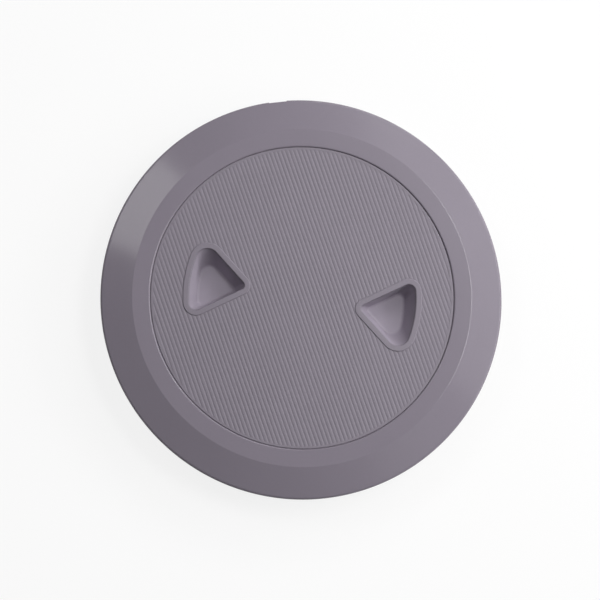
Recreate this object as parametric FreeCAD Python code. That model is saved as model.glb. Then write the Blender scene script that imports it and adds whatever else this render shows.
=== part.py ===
import FreeCAD
import Part
import math
import os

# Screw-in deck inspection plate for a boat, six inch class, in moulded grey plastic.
#
# Four pieces, from the deck up: a deck ring, whose flange is screwed to the deck and whose
# threaded collar hangs through the cut-out; a trim ring, which clips over the flange and
# hides the screws; a cover with an outside thread, a ribbed anti-slip face and two finger
# wells; and a rubber seal that rides under the cover's rim.
#
# Frame: millimetres, +Z up. The origin is on the plate's axis, in the plane of the deck's
# top face, which is the underside of the flange. +X runs through one finger well. The cover
# is shown screwed home. It unscrews anticlockwise seen from above, so the thread is
# right-handed.

# Cover: the threaded skirt is the size that everything round it follows.
skirt_radius = 71.5
skirt_wall = 2.5
skirt_depth = 14.8
cover_overhang = 2.6
cover_plate = 3.3
cover_sink = 0.4
shoulder_depth = 2.8

# Thread: one ridge on the skirt under one ridge in the collar.
thread_pitch = 6.0
thread_height = 1.8
thread_root_width = 2.6
thread_crest_width = 1.4
thread_clearance = 0.5
thread_flank_gap = 0.37
cover_thread_turns = 1.25
ring_thread_turns = 1.2
thread_margin = 1.8

# Deck ring.
collar_wall = 3.6
collar_depth = 20.0
flange_thickness = 2.5
flange_width = 14.6
flange_catch = 0.5

# Screw holes in the flange.
screw_count = 6
screw_hole_radius = 2.3
screw_head_radius = 4.0

# Trim ring.
trim_headroom = 4.0
land_width = 8.8
bevel_width = 15.9
trim_edge_height = 2.2
trim_wall = 1.8
trim_lip_width = 1.4
trim_lead_width = 1.2
trim_lead_depth = 1.0
trim_deck_gap = 0.2
trim_edge_cut = 1.0
web_count = 12
web_wall = 1.2
notch_width = 9.0
notch_depth = 0.6
notch_angle = 108.8

# Seal.
seal_width = 2.8
seal_height = 2.3

# Finger wells: a rounded triangle with its nose towards the centre. Its steep side is the
# one that fingers push on to unscrew the cover.
well_nose = 28.3
well_nose_side = 0.8
well_arc_radius = 57.3
well_steep_angle = 37.3
well_slope_angle = 36.0
well_depth = 11.5
well_steep_inset = 1.3
well_slope_inset = 3.6
well_arc_inset = 4.6
well_nose_corner = 2.2
well_steep_corner = 3.6
well_slope_corner = 6.0
well_wall = 2.2
well_floor_round = 1.8
well_foot_cut = 1.2
pad_margin = 2.9
pad_rise = 0.15
pad_edge_cut = 0.4

# Anti-slip ribs across the face, inside a plain rim.
rib_pitch = 2.0
rib_height = 0.3
rib_top_width = 0.7
rim_width = 1.3
rim_cut = 0.4
rib_angle = 31.0

# Stiffening under the cover.
stiffener_count = 12
stiffener_wall = 1.8
stiffener_depth = 6.5
hub_radius = 11.0
hub_wall = 2.0

# Clearances.
cover_gap = 0.3
catch_gap = 0.15
shoulder_gap = 0.4
seal_gap = 0.3

# Overshoot of a cutting tool past the face it cuts, depth to which a ridge is bedded in
# what carries it, and how near a thing has to be to count as being in a place.
past = 1.0
bedded = 0.4
near = 0.01

# Radii worked out from the centre outwards.
skirt_inner = skirt_radius - skirt_wall
bore_radius = skirt_radius + thread_height + thread_clearance
collar_radius = bore_radius + collar_wall
shoulder_radius = bore_radius - shoulder_gap
cover_radius = bore_radius + cover_overhang
trim_inner = cover_radius + cover_gap
lip_outer = trim_inner + trim_lip_width
flange_radius = collar_radius + flange_width
screw_circle = (collar_radius + flange_radius) / 2
crest_radius = trim_inner + land_width
trim_radius = crest_radius + bevel_width

# Heights worked out from the deck upwards.
land_height = flange_thickness + trim_headroom
cover_top = land_height - cover_sink
cover_under = cover_top - cover_plate
seat_height = cover_under - seal_height
skirt_bottom = cover_under - skirt_depth
shoulder_bottom = cover_under - shoulder_depth
pad_top = cover_top + pad_rise
well_floor = pad_top - well_depth
bevel_slope = (land_height - trim_edge_height) / bevel_width
trim_under = land_height - trim_wall

axis_z = FreeCAD.Vector(0, 0, 1)
centre = FreeCAD.Vector(0, 0, 0)


def polygon(points):
    """Flat face inside a ring of points."""
    return Part.Face(Part.makePolygon(points + points[:1]))


def turned(corners):
    """Solid of revolution about Z from (radius, height, cut) corners, cut being a chamfer's length."""
    points = [FreeCAD.Vector(r, 0, z) for r, z, _ in corners]
    outline = []
    for i, (_, _, cut) in enumerate(corners):
        here = points[i]
        if cut:
            back = (points[i - 1] - here).normalize()
            ahead = (points[(i + 1) % len(points)] - here).normalize()
            outline += [here + back * cut, here + ahead * cut]
        else:
            outline.append(here)
    return polygon(outline).revolve(centre, axis_z, 360)


def cylinder(radius, low, high):
    """Upright cylinder on the plate's axis, from one height to another."""
    return Part.makeCylinder(radius, high - low, FreeCAD.Vector(0, 0, low))


def thread_ridge(root_radius, outward, low, turns, turn_from):
    """Trapezoidal helical ridge on a cylinder, low being its centre line's first height."""
    side = 1 if outward else -1
    root, crest = thread_root_width / 2, thread_crest_width / 2
    bed = root_radius - side * bedded
    tip = root_radius + side * thread_height
    slope = (root - crest) / thread_height
    deep = root + slope * bedded
    corners = [(bed, -deep), (tip, -crest), (tip, crest), (bed, deep)]
    section = Part.makePolygon([FreeCAD.Vector(r, 0, z) for r, z in corners + corners[:1]])
    helix = Part.makeHelix(thread_pitch, thread_pitch * turns, root_radius)
    ridge = Part.Wire(helix.Edges).makePipeShell([section], True, True)
    ridge.translate(FreeCAD.Vector(0, 0, low))
    ridge.rotate(centre, axis_z, turn_from)
    return ridge


def flange_edge(height):
    """Radius of the flange's edge, which is widest half way up so that the trim ring clips on."""
    middle = flange_thickness / 2
    return flange_radius - flange_catch * abs(height - middle) / middle


def deck_ring():
    """Flange and threaded collar, with countersunk screw holes."""
    ring = turned([
        (bore_radius, -collar_depth, 0),
        (collar_radius, -collar_depth, 0),
        (collar_radius, 0, 0),
        (flange_edge(0), 0, 0),
        (flange_radius, flange_thickness / 2, 0),
        (flange_edge(flange_thickness), flange_thickness, 0),
        (trim_inner, flange_thickness, 0),
        (trim_inner, seat_height, 0),
        (bore_radius, seat_height, 0),
    ])
    for i in range(screw_count):
        turn = math.radians(360 / screw_count * (i + 0.5))
        place = FreeCAD.Vector(screw_circle * math.cos(turn), screw_circle * math.sin(turn), 0)
        ring = ring.cut(screw_hole(place))
    drop = thread_root_width / 2 + thread_crest_width / 2 + thread_flank_gap
    offset = drop - (thread_root_width - thread_crest_width) / 2 * thread_clearance / thread_height
    low = skirt_bottom + thread_margin
    ring_low = low + offset - thread_pitch / 4
    ridge = thread_ridge(bore_radius, False, ring_low, ring_thread_turns, -90)
    return ring.fuse(ridge).removeSplitter()


def screw_hole(place):
    """Cutting tool for one countersunk hole, at a point of the deck plane."""
    sink = screw_head_radius - screw_hole_radius
    shank = Part.makeCylinder(screw_hole_radius, flange_thickness + 2 * past, place - axis_z * past)
    rim = place + axis_z * (flange_thickness - sink)
    head = Part.makeCone(screw_hole_radius, screw_head_radius + past, sink + past, rim)
    return shank.fuse(head)


def bevel_underside(radius):
    """Height of the trim ring's underside at a radius outside the crest."""
    tilt = math.atan(bevel_slope)
    return land_height - (radius - crest_radius) * bevel_slope - trim_wall / math.cos(tilt)


def trim_ring():
    """Hollow bezel with a flat land, a bevel, an inner lip and webs that clip it on."""
    tilt = math.atan(bevel_slope)
    skirt = trim_radius - trim_wall
    under_crest = crest_radius - trim_wall * math.tan(tilt / 2)
    ring = turned([
        (trim_inner, flange_thickness, 0),
        (trim_inner, land_height - trim_lead_depth, 0),
        (trim_inner + trim_lead_width, land_height, 0),
        (crest_radius, land_height, 0),
        (trim_radius, trim_edge_height, trim_edge_cut),
        (trim_radius, trim_deck_gap, 0),
        (skirt, trim_deck_gap, 0),
        (skirt, bevel_underside(skirt), 0),
        (under_crest, trim_under, 0),
        (lip_outer, trim_under, 0),
        (lip_outer, flange_thickness, 0),
    ])
    webs = [web(skirt + bedded, 360 / web_count * (i + 0.5)) for i in range(web_count)]
    return ring.fuse(webs).cut(pry_notch()).removeSplitter()


def web(outer, turn):
    """Radial web under the bevel, with a notch that clips round the flange's edge."""
    toe = flange_edge(trim_deck_gap) + catch_gap
    shoulder = flange_edge(flange_thickness) + catch_gap
    corners = [
        (toe, trim_deck_gap),
        (outer, trim_deck_gap),
        (outer, bevel_underside(outer) + bedded),
        (shoulder, bevel_underside(shoulder) + bedded),
        (shoulder, flange_thickness),
        (flange_radius + catch_gap, flange_thickness / 2),
    ]
    outline = [FreeCAD.Vector(r, -web_wall / 2, z) for r, z in corners]
    plate = polygon(outline).extrude(FreeCAD.Vector(0, web_wall, 0))
    plate.rotate(centre, axis_z, turn)
    return plate


def pry_notch():
    """Cutting tool for the flat that lets a blade lift the trim ring off."""
    corner = FreeCAD.Vector(trim_radius - notch_depth, -notch_width / 2, -past)
    tool = Part.makeBox(notch_depth + past, notch_width, land_height + past, corner)
    tool.rotate(centre, axis_z, notch_angle)
    return tool


def well_block(low, high, grow, draft):
    """Wedge with a round end, the form of the finger well on +X, grown outwards by grow.

    Its two sides and its round end move in on the way down, by their share of draft. The
    round end's seam is turned away, so that its wall stays in one face.
    """
    steep = math.radians(well_steep_angle)
    slope = math.radians(well_slope_angle)
    steep_way = FreeCAD.Vector(math.cos(steep), math.sin(steep), 0)
    slope_way = FreeCAD.Vector(math.cos(slope), -math.sin(slope), 0)
    outlines = []
    radii = []
    for height in (low, high):
        share = draft * (pad_top - height) / well_depth
        steep_out = grow - well_steep_inset * share
        slope_out = grow - well_slope_inset * share
        back = (slope_way * steep_out + steep_way * slope_out) * (1 / math.sin(steep + slope))
        tip = FreeCAD.Vector(well_nose, well_nose_side, height) - back
        outlines.append([tip, tip + slope_way * cover_radius, tip + steep_way * cover_radius])
        radii.append(well_arc_radius + grow - well_arc_inset * share)
    under, over = outlines
    faces = [polygon(under), polygon(over)]
    for i in range(3):
        faces.append(polygon([under[i - 1], under[i], over[i], over[i - 1]]))
    wedge = Part.Solid(Part.Shell(faces))
    if draft:
        round_end = Part.makeCone(radii[0], radii[1], high - low, FreeCAD.Vector(0, 0, low))
    else:
        round_end = cylinder(radii[0], low, high)
    round_end.rotate(centre, axis_z, 180)
    return wedge.common(round_end)


def well_corners(block, grow):
    """Centres of a block's three upright edges, each with the corner's radius grown by grow."""
    tall = block.BoundBox.ZLength * 0.9
    middles = [e.CenterOfMass for e in block.Edges if e.BoundBox.ZLength > tall]
    middles.sort(key=lambda middle: middle.y)
    radii = [well_slope_corner, well_nose_corner, well_steep_corner]
    return [(middle, radius + grow) for middle, radius in zip(middles, radii)]


def edge_near(shape, place):
    """Edge whose centre lies at a place."""
    return [e for e in shape.Edges if (e.CenterOfMass - place).Length < near]


def edges_at(shape, height):
    """Edges that lie flat at a height."""
    lows = [e for e in shape.Edges if abs(e.BoundBox.ZMin - height) < near]
    return [e for e in lows if abs(e.BoundBox.ZMax - height) < near]


def well_shell():
    """Outside of one finger well's wall, solid, hanging from the cover's plate.

    Flats stand for its rounded corners. Each touches the corner's arc at the middle.
    """
    low = well_floor - well_wall
    shell = well_block(low, cover_under + bedded, well_wall, 1)
    half = math.radians(well_steep_angle + well_slope_angle) / 2
    for middle, radius in well_corners(shell, well_wall):
        cut = radius * (1 / math.sin(half) - 1) / math.cos(half)
        shell = shell.makeChamfer(cut, edge_near(shell, middle))
    return shell.makeChamfer(well_foot_cut, edges_at(shell, low))


def well_hollow():
    """Cutting tool for one finger well, with rounded corners and a rounded floor."""
    hollow = well_block(well_floor, pad_top + past, 0, 1)
    for middle, radius in well_corners(hollow, 0):
        hollow = hollow.makeFillet(radius, edge_near(hollow, middle))
    return hollow.makeFillet(well_floor_round, edges_at(hollow, well_floor))


def well_pad(low, high):
    """Plain border round a finger well, standing clear of the ribs."""
    pad = well_block(low, high, pad_margin, 0)
    for middle, radius in well_corners(pad, pad_margin):
        pad = pad.makeFillet(radius, edge_near(pad, middle))
    return pad


def both_wells(shape):
    """The shape and its copy turned half round, for the two finger wells."""
    other = shape.copy()
    other.rotate(centre, axis_z, 180)
    return [shape, other]


def rib_grooves():
    """Cutting tool for the vee grooves between the ribs, side by side across the face."""
    half_groove = (rib_pitch - rib_top_width) / 2
    count = int(cover_radius / rib_pitch) + 1
    length = cover_radius + past
    grooves = []
    for i in range(-count, count + 1):
        middle = i * rib_pitch
        corners = [
            (middle, cover_top - rib_height),
            (middle + half_groove, cover_top),
            (middle + half_groove, cover_top + past),
            (middle - half_groove, cover_top + past),
            (middle - half_groove, cover_top),
        ]
        outline = [FreeCAD.Vector(x, -length, z) for x, z in corners]
        groove = polygon(outline).extrude(FreeCAD.Vector(0, 2 * length, 0))
        groove.rotate(centre, axis_z, rib_angle)
        grooves.append(groove)
    inside = cylinder(cover_radius - rim_width, cover_under, cover_top + 2 * past)
    return Part.makeCompound(grooves).common(inside)


def stiffeners():
    """Radial ribs and a hub under the cover's plate."""
    low = cover_under - stiffener_depth
    hub = cylinder(hub_radius, low, cover_under + bedded)
    hub = hub.cut(cylinder(hub_radius - hub_wall, low - past, cover_under))
    pieces = [hub]
    inner = hub_radius - hub_wall / 2
    for i in range(stiffener_count):
        corner = FreeCAD.Vector(inner, -stiffener_wall / 2, low)
        length = skirt_inner + bedded - inner
        rib = Part.makeBox(length, stiffener_wall, cover_under + bedded - low, corner)
        rib.rotate(centre, axis_z, 360 / stiffener_count * i)
        pieces.append(rib)
    return pieces


def cover_blank():
    """Plain plate with its skirt and the shoulder that carries the seal."""
    return turned([
        (0, cover_under, 0),
        (skirt_inner, cover_under, 0),
        (skirt_inner, skirt_bottom, 0),
        (skirt_radius, skirt_bottom, 0),
        (skirt_radius, shoulder_bottom, 0),
        (shoulder_radius, shoulder_bottom, 0),
        (shoulder_radius, cover_under, 0),
        (cover_radius, cover_under, 0),
        (cover_radius, cover_top, rim_cut),
        (0, cover_top, 0),
    ])


def cover():
    """Plate with two finger wells, an anti-slip face, a threaded skirt and stiffeners."""
    pad = well_pad(cover_under + bedded, pad_top)
    pad = pad.makeChamfer(pad_edge_cut, edges_at(pad, pad_top))
    body = cover_blank().fuse(both_wells(pad) + both_wells(well_shell()) + stiffeners())
    for hollow in both_wells(well_hollow()):
        body = body.cut(hollow)
        rim = [e for e in edges_at(body, pad_top) if e.distToShape(hollow)[0] < near]
        body = body.makeChamfer(pad_edge_cut, rim)
    guards = both_wells(well_pad(cover_under, pad_top + 2 * past))
    body = body.cut(rib_grooves().cut(guards))
    low = skirt_bottom + thread_margin
    ridge = thread_ridge(skirt_radius, True, low, cover_thread_turns, 0)
    return body.fuse(ridge)


def seal():
    """Rubber ring, squashed between the cover's rim and its seat in the deck ring."""
    inner = shoulder_radius + seal_gap
    outer = inner + seal_width
    return turned([
        (inner, seat_height, 0),
        (outer, seat_height, 0),
        (outer, cover_under, 0),
        (inner, cover_under, 0),
    ])


def main():
    os.makedirs("parts", exist_ok=True)
    pieces = {"deck_ring": deck_ring(), "trim_ring": trim_ring(), "cover": cover(), "seal": seal()}
    for name, shape in pieces.items():
        solid = shape.Solids[0]
        solid.exportStep(os.path.join("parts", name + ".step"))
        print(name, "solids", len(shape.Solids), "faces", len(solid.Faces), "valid", solid.isValid(),
              "volume", round(solid.Volume))


main()
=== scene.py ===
# %% [markdown]
# # Deck inspection plate
#
# A screw-in plate closes a hand hole in a boat's deck. From above it is two mouldings in grey
# plastic: a trim ring with a flat land and a bevel, and inside it a cover with fine anti-slip
# ribs and two finger wells. Below them are the deck ring that takes the cover's thread, and a
# rubber seal.
#
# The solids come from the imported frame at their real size, in metres, with +Z up out of the
# deck. This lesson dresses them in the order that a maker would work: first the finishes, then
# the pieces whose edges have to be rounder than the solids, and last the studio round them.

# %% Load the frame
import math

import bmesh
import bpy
from mathutils import Matrix, Vector


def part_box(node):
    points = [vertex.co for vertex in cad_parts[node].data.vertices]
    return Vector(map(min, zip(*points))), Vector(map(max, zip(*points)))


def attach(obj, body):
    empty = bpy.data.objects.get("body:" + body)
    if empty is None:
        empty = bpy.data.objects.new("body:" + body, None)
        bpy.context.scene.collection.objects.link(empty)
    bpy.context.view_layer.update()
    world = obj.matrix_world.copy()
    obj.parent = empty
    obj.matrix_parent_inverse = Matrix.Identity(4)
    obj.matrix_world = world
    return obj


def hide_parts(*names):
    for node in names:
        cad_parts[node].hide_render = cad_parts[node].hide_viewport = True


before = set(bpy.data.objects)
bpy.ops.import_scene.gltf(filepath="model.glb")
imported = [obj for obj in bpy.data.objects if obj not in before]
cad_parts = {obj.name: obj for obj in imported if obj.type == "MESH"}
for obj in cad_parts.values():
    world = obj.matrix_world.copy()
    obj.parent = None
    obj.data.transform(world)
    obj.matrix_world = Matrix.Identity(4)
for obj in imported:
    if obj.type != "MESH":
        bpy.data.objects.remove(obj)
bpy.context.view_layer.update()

# %% [markdown]
# ## Sizes
#
# A node's box gives its outer radius and its heights. What a box can't give, such as how wide
# the bevel is, is written with the piece that needs it, in millimetres, as a drawing would
# have it.

# %% Read the sizes from the frame
MM = 0.001
trim_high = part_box("trim_ring")[1] / MM
ring_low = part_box("deck_ring")[0] / MM
cover_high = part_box("cover")[1] / MM
seal_low, seal_high = [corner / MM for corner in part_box("seal")]

trim_radius = trim_high.x
land_height = trim_high.z
cover_radius = cover_high.x
face_height = cover_high.z
print(f"trim ring radius {trim_radius:.1f} mm, land at {land_height:.1f} mm")
print(f"cover radius {cover_radius:.1f} mm, face at {face_height:.1f} mm")

# %% [markdown]
# ## The grain of moulded plastic
#
# A moulding looks alive because its surface isn't quite even. The tool is spark-eroded, which
# leaves a fine pebble; the colour drifts a little where the melt flowed; and hands leave areas
# that shine slightly more. Painting that on by hand would mean image files and UV maps. Noise
# textures in object coordinates need neither, and they run on round every edge without a seam.
#
# All the plastic pieces and the rubber use the same effect at other strengths, so it is one
# node group with named inputs. It puts out a colour, a roughness and a height, which change
# over the surface; the shader itself stays in each material.

# %% Helpers that make a node group with named sockets
def new_group(name, inputs, outputs):
    """Shader node group with (label, kind, value) inputs and (label, kind) outputs."""
    group = bpy.data.node_groups.new(name, "ShaderNodeTree")
    for label, kind, value in inputs:
        socket = group.interface.new_socket(label, in_out="INPUT", socket_type=kind)
        socket.default_value = value
    for label, kind in outputs:
        group.interface.new_socket(label, in_out="OUTPUT", socket_type=kind)
    return group


def add_math(nodes, links, operation, *values):
    """Math node whose inputs are numbers or other nodes' outputs; returns its output."""
    node = nodes.new("ShaderNodeMath")
    node.operation = operation
    for socket, value in zip(node.inputs, values):
        if isinstance(value, (int, float)):
            socket.default_value = value
        else:
            links.new(value, socket)
    return node.outputs[0]


def add_vector(nodes, links, operation, first, second):
    """Vector node with two linked inputs, or a vector and a scale; returns its output."""
    node = nodes.new("ShaderNodeVectorMath")
    node.operation = operation
    links.new(first, node.inputs[0])
    links.new(second, node.inputs["Scale" if operation == "SCALE" else 1])
    return node.outputs[0]


def add_drift(nodes, links, place, scale, detail):
    """Noise in object coordinates, with scale clouds to the metre; returns it about zero."""
    noise = nodes.new("ShaderNodeTexNoise")
    noise.inputs["Scale"].default_value = scale
    noise.inputs["Detail"].default_value = detail
    links.new(place.outputs["Object"], noise.inputs["Vector"])
    return add_math(nodes, links, "SUBTRACT", noise.outputs["Fac"], 0.5)


# %% Build the grain group
SPECK_SHARE = 0.5


def build_grain():
    group = new_group(
        "moulded_grain",
        [
            ("Colour", "NodeSocketColor", (0.24, 0.22, 0.25, 1)),
            ("Drift", "NodeSocketFloat", 0.06),
            ("Roughness", "NodeSocketFloat", 0.4),
            ("Handling", "NodeSocketFloat", 0.08),
            ("Pebbles to the metre", "NodeSocketFloat", 1800.0),
        ],
        [
            ("Colour", "NodeSocketColor"),
            ("Roughness", "NodeSocketFloat"),
            ("Height", "NodeSocketFloat"),
        ],
    )
    nodes, links = group.nodes, group.links
    start = nodes.new("NodeGroupInput")
    end = nodes.new("NodeGroupOutput")
    place = nodes.new("ShaderNodeTexCoord")

    # Clouds of two sizes: the melt's flow over a few centimetres, and specks of a millimetre.
    flow = add_drift(nodes, links, place, scale=30.0, detail=3.0)
    speck = add_drift(nodes, links, place, scale=900.0, detail=1.0)
    both = add_math(nodes, links, "MULTIPLY_ADD", speck, SPECK_SHARE, flow)
    amount = add_math(nodes, links, "MULTIPLY_ADD", both, start.outputs["Drift"], 1.0)
    tint = add_vector(nodes, links, "SCALE", start.outputs["Colour"], amount)
    links.new(tint, end.inputs["Colour"])

    # Where hands rub, the pebble is polished down, so the roughness drifts in broad areas.
    rub = add_drift(nodes, links, place, scale=14.0, detail=2.0)
    change = add_math(nodes, links, "MULTIPLY", rub, start.outputs["Handling"])
    rubbed = add_math(nodes, links, "ADD", change, start.outputs["Roughness"])
    links.new(rubbed, end.inputs["Roughness"])

    # The pebble itself is half a millimetre across, and leaves the group as a height.
    pebble = nodes.new("ShaderNodeTexNoise")
    pebble.inputs["Detail"].default_value = 2.0
    links.new(place.outputs["Object"], pebble.inputs["Vector"])
    links.new(start.outputs["Pebbles to the metre"], pebble.inputs["Scale"])
    links.new(pebble.outputs["Fac"], end.inputs["Height"])
    return group


grain = build_grain()
print("node group:", grain.name, [item.name for item in grain.interface.items_tree])

# %% [markdown]
# ## Painted light in the finger wells
#
# The cover's face is coloured a shade darker, and the finger wells below it are painted paler.
# That is painted light, standing in for the light that their floors catch. A group that measures
# how deep a point lies under the face can give the number that the colour is multiplied by, and
# needs no mask to be painted.

# %% Build the group that paints the wells paler
# Painted light: the face's colour is scaled by FACE_TONE, and the wells' by WELL_TONE, which
# paints them paler.
FACE_TONE = 0.95
WELL_TONE = 1.4
FADE_START = 0.4 * MM
FADE_END = 1.5 * MM


def add_depth(nodes, links, start):
    """How far a point lies under the group's Face height, in metres."""
    place = nodes.new("ShaderNodeTexCoord")
    parts = nodes.new("ShaderNodeSeparateXYZ")
    links.new(place.outputs["Object"], parts.inputs[0])
    return add_math(nodes, links, "SUBTRACT", start.outputs["Face height"], parts.outputs["Z"])


def build_well_painted_light():
    group = new_group(
        "well_painted_light",
        [
            ("Face height", "NodeSocketFloat", 0.0),
            ("Fade depth", "NodeSocketFloat", FADE_END),
            ("Face tone", "NodeSocketFloat", FACE_TONE),
            ("Well tone", "NodeSocketFloat", WELL_TONE),
        ],
        [("Tone", "NodeSocketFloat")],
    )
    nodes, links = group.nodes, group.links
    start = nodes.new("NodeGroupInput")
    end = nodes.new("NodeGroupOutput")
    fade = nodes.new("ShaderNodeMapRange")
    links.new(add_depth(nodes, links, start), fade.inputs["Value"])
    fade.inputs["From Min"].default_value = FADE_START
    links.new(start.outputs["Fade depth"], fade.inputs["From Max"])
    links.new(start.outputs["Face tone"], fade.inputs["To Min"])
    links.new(start.outputs["Well tone"], fade.inputs["To Max"])
    links.new(fade.outputs["Result"], end.inputs["Tone"])
    return group


well_light_group = build_well_painted_light()
print("node group:", well_light_group.name)

# %% [markdown]
# Shoes have rounded the ribs over. The solid keeps its crisp V grooves, because they
# are the form that the tool has; only the shading is worn. A third group leans the normal of
# everything near the face towards the face's own upright, by as much as the wear asks for, and
# leaves the wells below alone.

# %% Build the worn rib group
def build_worn_ribs():
    group = new_group(
        "worn_ribs",
        [
            ("Face height", "NodeSocketFloat", 0.0),
            ("Rib depth", "NodeSocketFloat", 0.45 * MM),
            ("Wear", "NodeSocketFloat", 2.0),
        ],
        [("Normal", "NodeSocketVector")],
    )
    nodes, links = group.nodes, group.links
    start = nodes.new("NodeGroupInput")
    end = nodes.new("NodeGroupOutput")
    depth = add_depth(nodes, links, start)
    near_face = add_math(nodes, links, "LESS_THAN", depth, start.outputs["Rib depth"])
    amount = add_math(nodes, links, "MULTIPLY", near_face, start.outputs["Wear"])
    upright = nodes.new("ShaderNodeVectorTransform")
    upright.vector_type = "NORMAL"
    upright.convert_from = "OBJECT"
    upright.convert_to = "WORLD"
    upright.inputs[0].default_value = (0, 0, 1)
    lean = add_vector(nodes, links, "SCALE", upright.outputs[0], amount)
    surface = nodes.new("ShaderNodeNewGeometry")
    leaned = add_vector(nodes, links, "ADD", surface.outputs["Normal"], lean)
    unit = nodes.new("ShaderNodeVectorMath")
    unit.operation = "NORMALIZE"
    links.new(leaned, unit.inputs[0])
    links.new(unit.outputs[0], end.inputs["Normal"])
    return group


worn_ribs = build_worn_ribs()
print("node group:", worn_ribs.name)

# %% [markdown]
# ## The finishes
#
# Each finish is a Principled shader fed by the grain group. The visible mouldings are the same
# satin grey with a faint violet cast. The trim ring is the smoothest of them, because it has no
# ribs to break up its shine: its bevel mirrors the lamps as soft patches with an edge, which is
# what tells the eye that it is a cone. The deck ring below is plainer and a little darker, and
# the seal is dull black rubber.

# %% Helpers for a moulded finish, its wear and the wells' painted light
GREY = (0.245, 0.219, 0.262)
DARKER_GREY = (0.225, 0.203, 0.24)
RUBBER = (0.02, 0.02, 0.022)
PEBBLE = 0.03 * MM
PEBBLE_STRENGTH = 0.4
SHEEN = 0.3


def moulded(name, colour, roughness, drift, handling, pebble_depth=PEBBLE):
    """Finish fed by the grain group, for plastic or rubber; pebble_depth is in metres."""
    material = bpy.data.materials.new(name)
    material.use_nodes = True
    nodes, links = material.node_tree.nodes, material.node_tree.links
    shader = nodes["Principled BSDF"]
    effect = nodes.new("ShaderNodeGroup")
    effect.node_tree = grain
    effect.inputs["Colour"].default_value = (*colour, 1)
    effect.inputs["Drift"].default_value = drift
    effect.inputs["Roughness"].default_value = roughness
    effect.inputs["Handling"].default_value = handling
    links.new(effect.outputs["Colour"], shader.inputs["Base Color"])
    links.new(effect.outputs["Roughness"], shader.inputs["Roughness"])
    bump = nodes.new("ShaderNodeBump")
    bump.inputs["Strength"].default_value = PEBBLE_STRENGTH
    bump.inputs["Distance"].default_value = pebble_depth
    links.new(effect.outputs["Height"], bump.inputs["Height"])
    links.new(bump.outputs["Normal"], shader.inputs["Normal"])
    shader.inputs["IOR"].default_value = 1.5
    shader.inputs["Specular IOR Level"].default_value = SHEEN
    return material


def wear_ribs_and_paint_wells(material, height):
    """Round over the shading of whatever lies at a height in metres, and paint the wells below it
    paler as painted light.
    """
    nodes, links = material.node_tree.nodes, material.node_tree.links
    shader = nodes["Principled BSDF"]
    bump = shader.inputs["Normal"].links[0].from_node
    ribs = nodes.new("ShaderNodeGroup")
    ribs.node_tree = worn_ribs
    ribs.inputs["Face height"].default_value = height
    links.new(ribs.outputs["Normal"], bump.inputs["Normal"])
    colour = shader.inputs["Base Color"].links[0].from_socket
    # Painted light: the colour is scaled by depth, a shade darker on the face and paler in the
    # wells.
    tone = nodes.new("ShaderNodeGroup")
    tone.node_tree = well_light_group
    tone.inputs["Face height"].default_value = height
    painted_colour = add_vector(nodes, links, "SCALE", colour, tone.outputs["Tone"])
    links.new(painted_colour, shader.inputs["Base Color"])


# %% Make the finishes
# The borders take the face's darker tone, so that they match the face beside the wells painted
# paler.
face_tone_grey = [FACE_TONE * level for level in GREY]
cover_plastic = moulded("cover_plastic", GREY, roughness=0.45, drift=0.10, handling=0.10)
border_plastic = moulded("border_plastic", face_tone_grey, roughness=0.4, drift=0.10, handling=0.10)
trim_plastic = moulded(
    "trim_plastic", GREY, roughness=0.13, drift=0.07, handling=0.05, pebble_depth=PEBBLE / 4
)
ring_plastic = moulded("ring_plastic", DARKER_GREY, roughness=0.5, drift=0.10, handling=0.10)
seal_rubber = moulded("seal_rubber", RUBBER, roughness=0.7, drift=0.20, handling=0.10)
wear_ribs_and_paint_wells(cover_plastic, face_height * MM)


def finish_node(node, material):
    """Put a finish on a node that comes from the frame as it is."""
    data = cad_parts[node].data
    data.materials.clear()
    data.materials.append(material)


finish_node("cover", cover_plastic)
finish_node("deck_ring", ring_plastic)
print("finishes:", [m.name for m in bpy.data.materials])

# %% [markdown]
# ## Sections with rounded corners
#
# The trim ring, the seal and the borders of the wells are one section each, led round a ring.
# Modelled curves with a bevel would do, but writing the section as a list of corners, each with
# its own radius, is closer to a drawing, and the radii are where a moulding catches the light.
# One helper rounds the corners, two more lead the section round, and the last ones skin the
# result and finish it.
#
# Smooth shading alone would bend the light over each flat beside a small rounding, as if the
# land were a shallow dish. Weighted normals let the wide faces decide, so flats stay flat.

# %% Round the corners of a section
CORNER_STEP = math.radians(9)


def round_section(corners):
    """Points of a closed section from (across, height, rounding) corners."""
    spots = [Vector((across, height)) for across, height, _ in corners]
    points = []
    for i, (_, _, rounding) in enumerate(corners):
        here = spots[i]
        if not rounding:
            points.append(here)
            continue
        back = (spots[i - 1] - here).normalized()
        ahead = (spots[(i + 1) % len(spots)] - here).normalized()
        turn = math.pi - back.angle(ahead)
        steps = max(1, math.ceil(turn / CORNER_STEP))
        middle = (back + ahead).normalized() * (rounding / math.cos(turn / 2)) + here
        first = here + back * (rounding * math.tan(turn / 2)) - middle
        side = 1 if back.cross(ahead) < 0 else -1
        for k in range(steps + 1):
            angle = side * turn * k / steps
            x = first.x * math.cos(angle) - first.y * math.sin(angle)
            y = first.x * math.sin(angle) + first.y * math.cos(angle)
            points.append(middle + Vector((x, y)))
    return points


# %% Lead a section round
def along(angle):
    """Level direction at an angle from +X."""
    return Vector((math.cos(angle), math.sin(angle)))


def spin(section, angles):
    """Columns of points: the section turned to each angle about the plate's axis."""
    return [[(*(along(angle) * p.x), p.y) for p in section] for angle in angles]


def sweep(section, arcs, step):
    """Columns of points: the section led round (middle, radius, first angle, last angle) arcs."""
    columns = []
    for middle, radius, first, last in arcs:
        steps = math.ceil((last - first) / step)
        for k in range(steps + 1):
            out = along(first + (last - first) * k / steps)
            columns.append([(*(middle + out * (radius + p.x)), p.y) for p in section])
    return columns


def even_angles(count):
    return [2 * math.pi * i / count for i in range(count)]


# %% Skin the columns and finish the piece
SAME_POINT = 0.001 * MM


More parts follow.
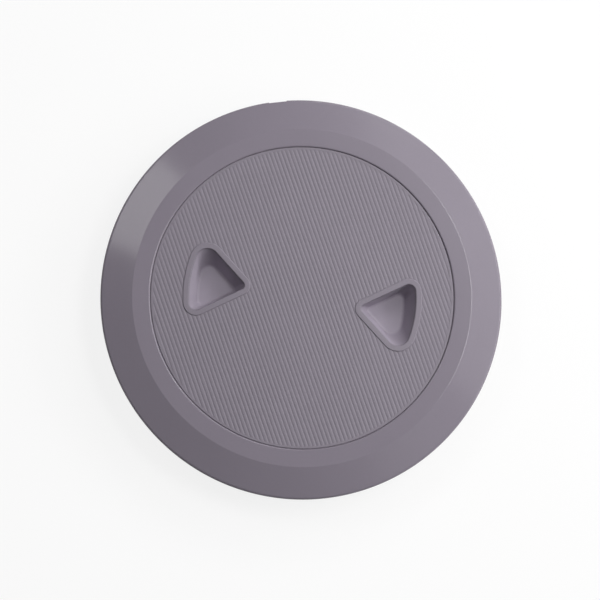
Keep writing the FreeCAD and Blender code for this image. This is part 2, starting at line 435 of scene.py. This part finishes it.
def skin(name, columns):
    """Closed ring over columns of points in millimetres, all with the same number of them."""
    build = bmesh.new()
    rows = [[build.verts.new(Vector(point) * MM) for point in column] for column in columns]
    for i, row in enumerate(rows):
        other = rows[(i + 1) % len(rows)]
        for k in range(len(row)):
            n = (k + 1) % len(row)
            build.faces.new((row[k], other[k], other[n], row[n]))
    bmesh.ops.remove_doubles(build, verts=build.verts, dist=SAME_POINT)
    bmesh.ops.recalc_face_normals(build, faces=build.faces)
    mesh = bpy.data.meshes.new(name)
    build.to_mesh(mesh)
    build.free()
    piece = bpy.data.objects.new(name, mesh)
    bpy.context.scene.collection.objects.link(piece)
    return piece


def apply_modifier(piece, modifier):
    bpy.context.view_layer.objects.active = piece
    bpy.ops.object.modifier_apply(modifier=modifier.name)


def dress(piece, material, body, sharp_from):
    """Finish a piece and let it ride; edges that bend by more than sharp_from stay sharp."""
    piece.data.polygons.foreach_set("use_smooth", [True] * len(piece.data.polygons))
    piece.data.set_sharp_from_angle(angle=math.radians(sharp_from))
    flats = piece.modifiers.new("flats", "WEIGHTED_NORMAL")
    flats.keep_sharp = True
    apply_modifier(piece, flats)
    piece.data.materials.append(material)
    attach(piece, body)
    print(f"{piece.name}: {len(piece.data.polygons)} faces")


# %% [markdown]
# ## The trim ring
#
# On the real plate this is a hollow moulding about two millimetres thick: a flat land beside
# the cover, a cone down to the deck, a short skirt all round, and webs underneath that clip it
# onto the flange. Its shine comes from three roundings. The lip beside the cover is rolled
# over, so that it draws a bright line on the side that faces the lamp and a dark one opposite;
# the crest is eased; and the outer edge is round, which is the thin dark fringe on its far side.

# %% Section of the trim ring
cover_gap = 0.1
bevel_width = 15.9
edge_height = 2.2
wall = 1.8
lip_width = 1.4
flange_top = 2.5
deck_gap = 0.2

# Roundings: first the three that show, then those of the hollow underneath.
lip_round = 0.9
crest_round = 2.0
outer_round = 1.5
root_round = 0.5
foot_round = 0.3
toe_round = 0.2

trim_inner = cover_radius + cover_gap
crest_radius = trim_radius - bevel_width
skirt_radius = trim_radius - wall
bevel_slope = (land_height - edge_height) / bevel_width
bevel_tilt = math.atan(bevel_slope)


def bevel_under(radius):
    """Height of the underside of the bevel at a radius."""
    return land_height - (radius - crest_radius) * bevel_slope - wall / math.cos(bevel_tilt)


trim_section = round_section([
    (trim_inner, flange_top, toe_round),
    (trim_inner, land_height, lip_round),
    (crest_radius, land_height, crest_round),
    (trim_radius, edge_height, outer_round),
    (trim_radius, deck_gap, foot_round),
    (skirt_radius, deck_gap, foot_round),
    (skirt_radius, bevel_under(skirt_radius), foot_round),
    (crest_radius - wall * math.tan(bevel_tilt / 2), land_height - wall, crest_round),
    (trim_inner + lip_width, land_height - wall, root_round),
    (trim_inner + lip_width, flange_top, toe_round),
])
print(f"trim ring section: {len(trim_section)} points")

# %% [markdown]
# The outer edge has one small flat, where a blade can lift the ring off its clips. Cutting it
# with a Boolean would leave slivers along the round edge. Pushing the points back to the flat
# keeps the mesh clean, as long as two columns of points stand close together at each end of it,
# one on the flat and one on the round edge.

# %% Spin the trim ring, with its flat
notch_turn = math.radians(108.8)
notch_half_width = 4.5
notch_depth = 0.6
notch_face = trim_radius - notch_depth
notch_half_angle = math.asin(notch_half_width / trim_radius)
notch_end_step = math.radians(0.03)


def flatten_notch(x, y, height):
    """The point, pushed back to the flat if it lies past it."""
    across = -x * math.sin(notch_turn) + y * math.cos(notch_turn)
    out = x * math.cos(notch_turn) + y * math.sin(notch_turn)
    if abs(across) < notch_half_width and out > notch_face:
        x -= (out - notch_face) * math.cos(notch_turn)
        y -= (out - notch_face) * math.sin(notch_turn)
    return x, y, height


notch_ends = []
for side in (-1, 1):
    for step in (-notch_end_step, notch_end_step):
        notch_ends.append(notch_turn + side * (notch_half_angle + step))
trim_columns = spin(trim_section, sorted(even_angles(360) + notch_ends))
trim_columns = [[flatten_notch(*point) for point in column] for column in trim_columns]
trim = skin("trim_ring_dressed", trim_columns)
print(f"trim ring: {len(trim.data.polygons)} faces")

# %% [markdown]
# The webs are flat plates that reach into the ring's wall, and their inner edges follow the
# pointed edge of the flange. They could stay pieces of their own, but then their ends would
# lie hidden inside the wall. So they are built as closed plates and welded on with a Boolean
# union, which leaves the ring a single clean skin.

# %% Weld the webs on
web_count = 12
web_wall = 1.2
flange_radius = 91.9
catch_gap = 0.15
catch_step = 0.5
bedded = 0.4


def web_plates():
    """All the webs as one object of closed plates, evenly round the ring."""
    outer = skirt_radius + bedded
    shoulder = flange_radius - catch_step + catch_gap
    toe = shoulder + deck_gap
    corners = [
        (toe, deck_gap),
        (outer, deck_gap),
        (outer, bevel_under(outer) + bedded),
        (shoulder, bevel_under(shoulder) + bedded),
        (shoulder, flange_top),
        (flange_radius + catch_gap, flange_top / 2),
    ]
    build = bmesh.new()
    for i in range(web_count):
        turn = Matrix.Rotation(2 * math.pi * (i + 0.5) / web_count, 3, "Z")
        rims = []
        for side in (-web_wall / 2, web_wall / 2):
            rims.append([build.verts.new(turn @ Vector((r, side, z)) * MM) for r, z in corners])
        near, far = rims
        build.faces.new(near)
        build.faces.new(far[::-1])
        for k in range(len(corners)):
            n = (k + 1) % len(corners)
            build.faces.new((near[n], near[k], far[k], far[n]))
    bmesh.ops.recalc_face_normals(build, faces=build.faces)
    mesh = bpy.data.meshes.new("webs")
    build.to_mesh(mesh)
    build.free()
    return bpy.data.objects.new("webs", mesh)


def weld(piece, other):
    """Join a closed piece to another closed one with a Boolean union, then drop the other."""
    bpy.context.scene.collection.objects.link(other)
    union = piece.modifiers.new("weld", "BOOLEAN")
    union.operation = "UNION"
    union.solver = "EXACT"
    union.object = other
    apply_modifier(piece, union)
    bpy.data.objects.remove(other)


weld(trim, web_plates())
dress(trim, trim_plastic, "ring", sharp_from=30)
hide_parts("trim_ring")

# %% [markdown]
# ## The borders of the finger wells
#
# A plain border runs round each well and stands a little above the ribs, so that fingers don't
# catch on their ends. Its rounded edges draw a thin light line towards the lamps and a dark one
# away from them. The solid's border has small straight bevels, so a rounded strip goes over
# each, let into the solid by six tenths of a millimetre.
#
# The outline is four arcs with straight runs between them: the round end about the plate's
# axis, and the three corners. Moving it outwards only makes the arcs larger, about the same
# middles, so each arc is a middle, a radius and two angles, and the section is led round them.

# %% Outline of the finger well on +X
# The steep side and the sloping side leave the tip at these two turns from +X.
well_tip = Vector((28.3, 0.8))
well_arc_radius = 57.3
steep_turn = math.radians(37.3)
slope_turn = math.radians(-36.0)
nose_corner = 2.2
steep_corner = 3.6
slope_corner = 6.0
QUARTER = math.pi / 2


def corner_middle(side_turn, inward_turn, radius):
    """Middle of the arc that touches one side of the well and its round end from inside."""
    start = well_tip + along(inward_turn) * radius
    way = along(side_turn)
    reach = well_arc_radius - radius
    half = start.dot(way)
    return start + way * (math.sqrt(half ** 2 - start.length_squared + reach ** 2) - half)


nose_way = along(steep_turn) + along(slope_turn)
nose_middle = well_tip + nose_way * (nose_corner / math.sin(steep_turn - slope_turn))
steep_middle = corner_middle(steep_turn, steep_turn - QUARTER, steep_corner)
slope_middle = corner_middle(slope_turn, slope_turn + QUARTER, slope_corner)
steep_end = math.atan2(steep_middle.y, steep_middle.x)
slope_end = math.atan2(slope_middle.y, slope_middle.x)
steep_out = steep_turn + QUARTER
slope_out = slope_turn + 3 * QUARTER
well_arcs = [
    (Vector((0, 0)), well_arc_radius, slope_end, steep_end),
    (steep_middle, steep_corner, steep_end, steep_out),
    (nose_middle, nose_corner, steep_out, slope_out),
    (slope_middle, slope_corner, slope_out, slope_end + 4 * QUARTER),
]
print("arcs from", [round(math.degrees(first)) for _, _, first, _ in well_arcs], "degrees")

# %% Lay the borders
border_width = 2.9
border_rise = 0.15
border_depth = 0.6
border_round = 0.5
proud = 0.05

border_section = round_section([
    (-proud, face_height - border_depth, 0),
    (-proud, face_height + border_rise, border_round),
    (border_width + proud, face_height + border_rise, border_round),
    (border_width + proud, face_height - border_depth, 0),
])
border_columns = sweep(border_section, well_arcs, step=math.radians(3))
for name, side in (("border_plus_x", 1), ("border_minus_x", -1)):
    turned = [[(side * x, side * y, z) for x, y, z in column] for column in border_columns]
    dress(skin(name, turned), border_plastic, "cover", sharp_from=60)

# %% [markdown]
# ## The seal
#
# The seal is a rubber ring, squashed between the cover's rim and its seat, so its flanks bulge
# and its corners stay round. It could be a torus pressed flat, but the same four corners as
# the solid's, with a large rounding, keep to the solid's size.

# %% Spin the seal
seal_width = 2.8
seal_round = 0.7
seal_inner = seal_high.x - seal_width
seal_section = round_section([
    (seal_inner, seal_low.z, seal_round),
    (seal_inner, seal_high.z, seal_round),
    (seal_high.x, seal_high.z, seal_round),
    (seal_high.x, seal_low.z, seal_round),
])
seal = skin("seal_dressed", spin(seal_section, even_angles(240)))
dress(seal, seal_rubber, "seal", sharp_from=60)
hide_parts("seal")

# %% [markdown]
# ## The floor
#
# The photograph has a white ground. The floor is matt white paper under the deck ring, and the
# part of its material that the camera or a reflection sees is mostly plain white light, so that
# it looks white without a lamp being turned up. What is left of the paper keeps the shadow.

# %% Lay the floor
PAPER = (0.9, 0.9, 0.9)
PLAIN_LIGHT_SHARE = 0.85
paper_gap = 0.05


def lay_floor():
    bpy.ops.mesh.primitive_plane_add(size=6, location=(0, 0, (ring_low.z - paper_gap) * MM))
    floor = bpy.context.object
    floor.name = "floor"
    paper = bpy.data.materials.new("white_paper")
    paper.use_nodes = True
    nodes, links = paper.node_tree.nodes, paper.node_tree.links
    nodes.clear()
    out = nodes.new("ShaderNodeOutputMaterial")
    matt = nodes.new("ShaderNodeBsdfDiffuse")
    matt.inputs["Color"].default_value = (*PAPER, 1)
    glow = nodes.new("ShaderNodeEmission")
    mix = nodes.new("ShaderNodeMixShader")
    path = nodes.new("ShaderNodeLightPath")
    camera_ray, glossy_ray = path.outputs["Is Camera Ray"], path.outputs["Is Glossy Ray"]
    seen = add_math(nodes, links, "MAXIMUM", camera_ray, glossy_ray)
    seen = add_math(nodes, links, "MAXIMUM", seen, path.outputs["Is Transmission Ray"])
    share = add_math(nodes, links, "MULTIPLY", seen, PLAIN_LIGHT_SHARE)
    links.new(share, mix.inputs["Fac"])
    links.new(matt.outputs[0], mix.inputs[1])
    links.new(glow.outputs[0], mix.inputs[2])
    links.new(mix.outputs[0], out.inputs["Surface"])
    floor.data.materials.append(paper)
    return floor


print("floor at", round(lay_floor().location.z / MM, 1), "mm")

# %% [markdown]
# ## The lamps
#
# The bevel tells where the lamps stood, because a cone mirrors a panel as a patch with an edge.
# In the photograph it is bright from the right up to the top, and again in a narrow patch at
# the upper left. So a wide window stands on the right, with a low strip under it and a ceiling
# panel over it, and a small mirror patch comes from a panel of its own. The land lies flat and
# mirrors what hangs nearly overhead: it is paler on the right, so there is a panel there too.
#
# The last three fill in where the window doesn't reach: they set how dark the other sides of
# the bevel and of the wells are. Each lamp's power was found by rendering it alone and asking
# what mix of them gives the photograph's brightness on the cover, the land and the bevel. A
# very weak light from all round stands for what the walls of a room send back.
#
# Lamps and camera are placed by where they would stand in the photograph: an angle of 0 is its
# right-hand side, and 90 its top. The plate's own +X lies a little below the picture's right.

# %% Hang the lamps
image_turn = math.radians(11.8)


def from_image(angle, elevation, distance):
    """Point in the direction that the photograph shows at an angle, raised by an elevation.

    Both are in degrees, and the distance is in metres from the plate's origin.
    """
    level = along(math.radians(angle) + image_turn) * math.cos(math.radians(elevation))
    return Vector((level.x, level.y, math.sin(math.radians(elevation)))) * distance


def panel(name, place, width, height, power):
    """Lamp that looks at the plate, its width lying level; metres and watts."""
    data = bpy.data.lights.new(name, "AREA")
    data.shape = "RECTANGLE"
    data.size = width
    data.size_y = height
    data.energy = power
    lamp = bpy.data.objects.new(name, data)
    bpy.context.scene.collection.objects.link(lamp)
    lamp.location = place
    lamp.rotation_euler = (-place).to_track_quat("-Z", "Y").to_euler()


panel("window", from_image(18, 43, 1.0), width=1.4, height=0.5, power=2.83)
panel("low_strip", from_image(12, 30, 0.7), width=0.8, height=0.2, power=2.65)
panel("ceiling", from_image(20, 66, 1.3), width=0.6, height=0.3, power=5.3)
panel("overhead", from_image(36, 70, 1.3), width=0.6, height=0.35, power=0.66)
panel("small_mirror", from_image(138, 54, 1.05), width=0.33, height=0.3, power=1.45)
panel("right_fill", from_image(318, 59, 1.1), width=0.3, height=0.3, power=0.15)
panel("left_fill", from_image(215, 30, 1.2), width=0.5, height=0.3, power=0.4)
panel("upper_fill", from_image(70, 35, 1.2), width=0.5, height=0.3, power=2.7)

# %% Even light from all round
EVEN_LIGHT = 0.01

world = bpy.data.worlds.new("studio")
bpy.context.scene.world = world
world.use_nodes = True
background = world.node_tree.nodes["Background"]
background.inputs["Color"].default_value = (1, 1, 1, 1)
background.inputs["Strength"].default_value = EVEN_LIGHT
print("even light of strength", EVEN_LIGHT)

# %% [markdown]
# ## The camera
#
# The photograph looks almost straight down, from eight degrees out of the vertical, towards its
# lower left, and the plate fills two thirds of its width. The camera stands there and its lens
# is worked out from that width, so that the plate comes out as large as in the photograph. A
# shift of nearly two pixels each way brings it to the same place.

# %% Set up the camera
view_angle = 240
view_elevation = 82
view_distance = 1.4

# In pixels of the photograph; the shift lays the render's outline over the one there.
image_width = 600
plate_width = 402
shift_across = -1.8
shift_up = -1.5

shown_width = 2 * trim_radius * MM * image_width / plate_width

camera_data = bpy.data.cameras.new("camera")
camera_data.sensor_width = 36
camera_data.lens = camera_data.sensor_width * view_distance / shown_width
camera_data.clip_end = 20
camera_data.shift_x = shift_across / image_width
camera_data.shift_y = shift_up / image_width
camera = bpy.data.objects.new("camera", camera_data)
bpy.context.scene.collection.objects.link(camera)
camera.location = from_image(view_angle, view_elevation, view_distance)

# The picture's top is straight up in the camera, so its right is square to that and the view.
view = (-camera.location).normalized()
right = view.cross(from_image(90, 0, 1)).normalized()
camera.rotation_euler = Matrix((right, right.cross(view), -view)).transposed().to_euler()
bpy.context.scene.camera = camera
bpy.context.scene.view_settings.view_transform = "Standard"
print(f"lens {camera_data.lens:.0f} mm at {view_distance} m")
